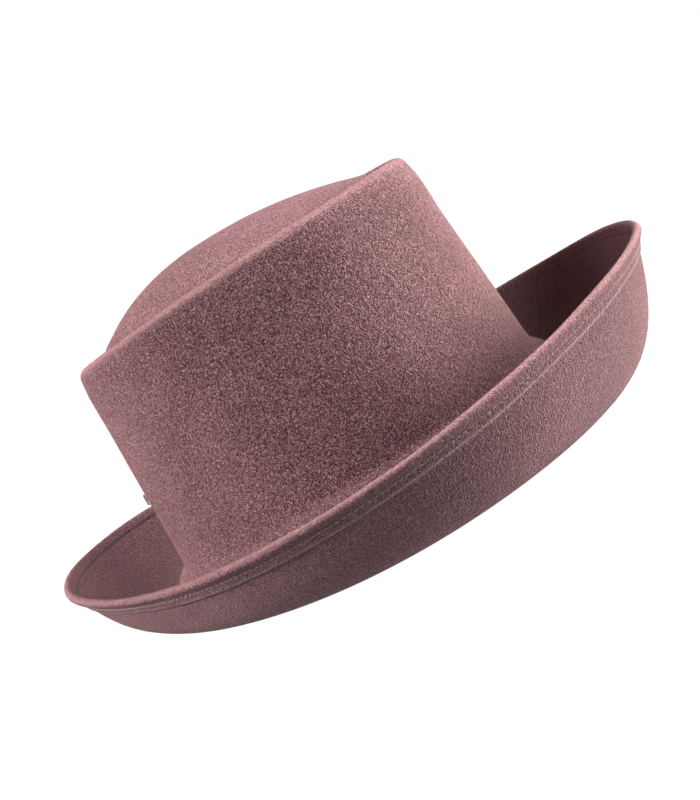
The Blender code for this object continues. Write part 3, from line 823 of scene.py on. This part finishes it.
def felt_look():
    """Blocked wool felt: matted fibres, light and dark, with a short nap that catches light.
    Its attributes are the shares that felt_shades gives."""
    nodes = Nodes("felt", 0.96, specular=0.05, sheen=0.60, sheen_roughness=0.42,
                  sheen_tint=(1.0, 0.56, 0.57))
    maths, noise_of, share_of = nodes.maths, nodes.noise, nodes.attribute
    fibres = noise_of(2300.0, 1.0)
    grain = noise_of(1500.0, 1.5, 0.6, 0.4)
    clumps = noise_of(680.0, 2.0)
    slow = noise_of(26.0, 2.0, 0.5)
    tone = maths("ADD", maths("MULTIPLY", fibres, 0.42), maths("MULTIPLY", grain, 0.42))
    tone = maths("ADD", tone, maths("MULTIPLY", clumps, 0.16))
    # pressed felt is smoother and its tones lie closer together
    nap = nodes.span(share_of("pressed"), 0.0, 1.0, 1.0, 0.60)
    tone = maths("MULTIPLY_ADD", maths("SUBTRACT", tone, 0.5), nap, 0.5)
    tone = maths("ADD", tone, nodes.span(slow, 0.3, 0.7, -0.012, 0.012))
    colour = nodes.ramp(tone, (0.430, FELT_DARK), (0.500, FELT_MIDDLE), (0.570, FELT_LIGHT),
                        (0.635, FELT_FLECK))
    hairs = nodes.span(noise_of(1450.0, 0.0, 0.5), 0.68, 0.75)
    hairs = maths("MULTIPLY", hairs, nodes.span(share_of("pressed"), 0.0, 1.0, 1.0, 0.45))
    colour = nodes.mix(hairs, colour, FELT_SPECK)
    colour = nodes.mix(maths("MULTIPLY", share_of("pressed"), 0.23), colour, FELT_PRESSED)
    # painted shade: broken dark patches under the bead, and a faint darkening of the flap
    shade_patches = maths("MULTIPLY", nodes.span(noise_of(620.0, 1.0), 0.42, 0.52), share_of("under_bead_shade"))
    dark = maths("ADD", maths("MULTIPLY", shade_patches, 0.42), maths("MULTIPLY", share_of("hem"), 0.06))
    colour = nodes.mix(dark, colour, FELT_DARK)
    # painted shade in the gutter and in the furrow beside the upper stitches
    colour = nodes.mix(share_of("gutter_shade"), colour, FELT_SHADE)
    # the bead's top and the rim's crest: lighter with wear and with a painted highlight
    wear_and_highlight = maths("MULTIPLY", share_of("ridge"), nodes.span(tone, 0.42, 0.56, 0.52, 0.90))
    colour = nodes.mix(wear_and_highlight, colour, FELT_WEAR_AND_HIGHLIGHT)
    # painted highlight along the flap's cut edge
    colour = nodes.mix(maths("MULTIPLY", share_of("cut"), 0.90), colour, FELT_CUT_HIGHLIGHT)
    height = maths("ADD", maths("MULTIPLY", clumps, 0.7), grain)
    return nodes.done(colour, nodes.bump(maths("MULTIPLY", height, nap), 0.0040, 0.9))


def thread_look(name, dark, light):
    nodes = Nodes(name, 0.70, specular=0.3, sheen=0.3)
    strand = nodes.noise(2600.0, 2.0, 0.5)
    colour = nodes.ramp(strand, (0.35, dark), (0.65, light))
    return nodes.done(colour, nodes.bump(strand, 0.0002, 0.6))


RIB_PITCH = 0.0011


def ribbon_look():
    """Grosgrain: fine ribs across the ribbon, each one a bundle of weft.  Run is the length along it."""
    nodes = Nodes("grosgrain", 0.72, specular=0.3, sheen=0.25, sheen_roughness=0.4)
    rib = nodes.maths("SINE", nodes.maths("MULTIPLY", nodes.attribute("run"), tau / RIB_PITCH))
    rib = nodes.span(rib, -1.0, 1.0)
    speck = nodes.noise(2400.0, 2.0)
    tone = nodes.maths("ADD", nodes.maths("MULTIPLY", rib, 0.7), nodes.maths("MULTIPLY", speck, 0.3))
    colour = nodes.ramp(tone, (0.10, (0.048, 0.024, 0.028)), (0.90, (0.150, 0.080, 0.086)))
    height = nodes.maths("ADD", rib, nodes.maths("MULTIPLY", speck, 0.4))
    return nodes.done(colour, nodes.bump(height, 0.00035, 0.9))


def satin_look():
    nodes = Nodes("satin", 0.34, specular=0.5, sheen=0.15, anisotropic=0.5)
    drawn_out = nodes.add("Mapping", Vector=nodes.where(), Scale=(1.0, 1.0, 0.15))
    weave = nodes.noise(900.0, 3.0, 0.6, where=drawn_out.outputs[0])
    slow = nodes.noise(60.0, 2.0)
    tone = nodes.maths("ADD", nodes.maths("MULTIPLY", weave, 0.5), nodes.maths("MULTIPLY", slow, 0.5))
    colour = nodes.ramp(tone, (0.35, (0.105, 0.050, 0.058)), (0.65, (0.190, 0.100, 0.108)))
    creases = nodes.noise(110.0, 2.0, 0.5, 1.2)
    return nodes.done(colour, nodes.bump(creases, 0.0012, 0.35, nodes.bump(weave, 0.00015, 0.4)))


def label_look(name, edge):
    """Woven tape with a plain darker border and no lettering."""
    nodes = Nodes(name, 0.55, specular=0.35, sheen=0.2)
    weave = nodes.noise(1900.0, 2.0, 0.5)
    colour = nodes.ramp(weave, (0.35, (0.450, 0.350, 0.300)), (0.65, (0.640, 0.540, 0.470)))
    if edge:
        border = nodes.span(nodes.attribute("border"), 0.80, 0.84)
        within = nodes.span(nodes.attribute("border"), 0.90, 0.94, 1.0, 0.0)
        colour = nodes.mix(nodes.maths("MULTIPLY", border, within), colour, (0.160, 0.085, 0.090))
    return nodes.done(colour, nodes.bump(weave, 0.0002, 0.5))


def reed_look():
    nodes = Nodes("reed", 0.40, specular=0.5)
    cloud = nodes.noise(500.0, 2.0)
    return nodes.done(nodes.ramp(cloud, (0.3, (0.66, 0.64, 0.58)), (0.7, (0.80, 0.79, 0.74))),
                      nodes.bump(cloud, 0.0001, 0.3))


def metal_look(name, dark, light, roughness):
    nodes = Nodes(name, roughness, specular=0.5, metallic=1.0)
    brushed = nodes.noise(1500.0, 3.0, 0.6)
    uneven = nodes.span(brushed, 0.3, 0.7, roughness - 0.08, roughness + 0.10)
    nodes.link(uneven, nodes.shader.inputs["Roughness"])
    return nodes.done(nodes.ramp(brushed, (0.3, dark), (0.7, light)), nodes.bump(brushed, 0.00005, 0.3))


# ---------------------------------------------------------------- stage

CAMERA_TURN = (288.78, 9.92, 31.04)           # azimuth, elevation and roll, degrees
CAMERA_DISTANCE = 0.628
CAMERA_TARGET = (0.0, OVAL_SHIFT, 0.040)
CAMERA_LENS = 57.8
CAMERA_SHIFT = (0.0149, 0.0310)


def camera_axes():
    turn, rise, roll = (radians(value) for value in CAMERA_TURN)
    back = Vector((sin(turn) * cos(rise), -cos(turn) * cos(rise), sin(rise)))
    right = Vector((cos(turn), sin(turn), 0.0))
    up = back.cross(right)
    return right * cos(roll) - up * sin(roll), right * sin(roll) + up * cos(roll), back


def add_camera():
    across, up, back = camera_axes()
    data = bpy.data.cameras.new("camera")
    data.lens = CAMERA_LENS
    data.sensor_width = 36.0
    data.clip_start, data.clip_end = 0.01, 50.0
    data.shift_x, data.shift_y = CAMERA_SHIFT
    camera = bpy.data.objects.new("camera", data)
    turn = Matrix((across, up, back)).transposed().to_4x4()
    camera.matrix_world = Matrix.Translation(Vector(CAMERA_TARGET) + back * CAMERA_DISTANCE) @ turn
    bpy.context.scene.collection.objects.link(camera)
    bpy.context.scene.camera = camera


LIGHT_TARGET = (0.0, 0.0, 0.07)
# each softbox: name, direction across, up and back in the camera's axes, side, power, colour
SOFTBOXES = (
    ("key", (-1.00, 0.03, 0.12), 0.6, 30.0, (1.00, 0.94, 0.96)),
    ("left", (-0.76, 0.00, 0.64), 0.9, 7.6, (1.00, 0.90, 0.97)),
    ("right", (0.60, 0.30, 0.68), 0.9, 9.0, (1.00, 0.98, 0.98)),
    ("top_right", (0.83, 0.56, 0.08), 0.9, 50.0, (1.00, 0.99, 0.98)),
    ("top", (0.00, 0.97, -0.12), 0.9, 24.0, (1.00, 0.98, 0.99)),
    ("top_far", (0.00, 0.85, -0.50), 0.9, 10.0, (0.97, 1.00, 1.00)),
    ("under_left", (-0.60, -0.60, -0.50), 0.9, 8.0, (0.92, 1.00, 1.02)),
    ("under_right", (0.60, -0.60, -0.50), 0.9, 19.0, (0.92, 1.00, 1.02)),
    ("far", (0.00, -0.20, -1.00), 0.9, 14.0, (1.00, 1.00, 1.00)),
)
LIGHT_DISTANCE = 1.6
ROOM_LIGHT = 0.04
FLOOR_HALF = 20.0
FLOOR_GAP = 0.0005


def add_lights():
    axes = camera_axes()
    for name, aim, side, power, colour in SOFTBOXES:
        direction = sum((axis * amount for axis, amount in zip(axes, aim)), Vector()).normalized()
        data = bpy.data.lights.new(name, "AREA")
        data.shape = "SQUARE"
        data.size = side
        data.energy = power
        data.color = colour
        light = bpy.data.objects.new(name, data)
        light.location = Vector(LIGHT_TARGET) + direction * LIGHT_DISTANCE
        light.rotation_mode = "QUATERNION"
        light.rotation_quaternion = direction.to_track_quat("Z", "Y")
        bpy.context.scene.collection.objects.link(light)


def add_floor():
    """Pale floor that stays even and catches no shadow."""
    mesh = bpy.data.meshes.new("floor")
    corners = [(x * FLOOR_HALF, y * FLOOR_HALF, 0.0) for x, y in ((-1, -1), (1, -1), (1, 1), (-1, 1))]
    mesh.from_pydata(corners, [], [(0, 1, 2, 3)])
    floor = bpy.data.objects.new("floor", mesh)
    floor.location.z = -FLOOR_GAP
    bpy.context.scene.collection.objects.link(floor)
    nodes = Nodes("floor", 0.9)
    nodes.shader.inputs["Emission Color"].default_value = (1.0, 1.0, 1.0, 1.0)
    nodes.shader.inputs["Emission Strength"].default_value = 1.0
    mesh.materials.append(nodes.done((0.02, 0.02, 0.02)))
    floor.visible_diffuse = False
    floor.visible_glossy = False
    floor.visible_shadow = False


def add_room():
    """White room behind the hat, which lights it only dimly."""
    world = bpy.data.worlds.new("room")
    world.use_nodes = True
    tree = world.node_tree
    tree.nodes.clear()
    path = tree.nodes.new("ShaderNodeLightPath")
    mixed = tree.nodes.new("ShaderNodeMixShader")
    tree.links.new(path.outputs["Is Camera Ray"], mixed.inputs[0])
    for socket, colour, strength in ((1, (0.85, 0.97, 1.0, 1.0), ROOM_LIGHT),
                                     (2, (1.0, 1.0, 1.0, 1.0), 1.0)):
        background = tree.nodes.new("ShaderNodeBackground")
        background.inputs["Color"].default_value = colour
        background.inputs["Strength"].default_value = strength
        tree.links.new(background.outputs[0], mixed.inputs[socket])
    out = tree.nodes.new("ShaderNodeOutputWorld")
    tree.links.new(mixed.outputs[0], out.inputs["Surface"])
    bpy.context.scene.world = world
    bpy.context.scene.view_settings.view_transform = "Standard"


def main():
    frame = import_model()
    felt, ribbon, satin = felt_look(), ribbon_look(), satin_look()
    thread = thread_look("thread", (0.350, 0.245, 0.242), (0.640, 0.490, 0.478))
    # the same thread painted darker, as painted shade for the upper stitches
    thread_painted_dark = thread_look("thread_painted_dark", (0.060, 0.040, 0.042), (0.150, 0.095, 0.097))
    build_felt(felt)
    build_stitches(thread, thread_painted_dark)
    build_sweatband(ribbon)
    build_bow(ribbon)
    build_lining(satin)
    build_labels(label_look("label", True), label_look("tip_label", False))
    steel = metal_look("steel", (0.42, 0.42, 0.43), (0.60, 0.60, 0.61), 0.35)
    rose_metal = metal_look("rose_metal", (0.78, 0.55, 0.48), (0.92, 0.72, 0.64), 0.25)
    reed = reed_look()
    for node, look in (("brim_wire", steel), ("wire_ferrule", steel), ("sweatband_reed", reed),
                       ("crown_pin", rose_metal), ("pin_clutch", rose_metal)):
        finish_in(frame["nodes"][node], look)
    add_floor()
    add_room()
    add_lights()
    add_camera()


main()
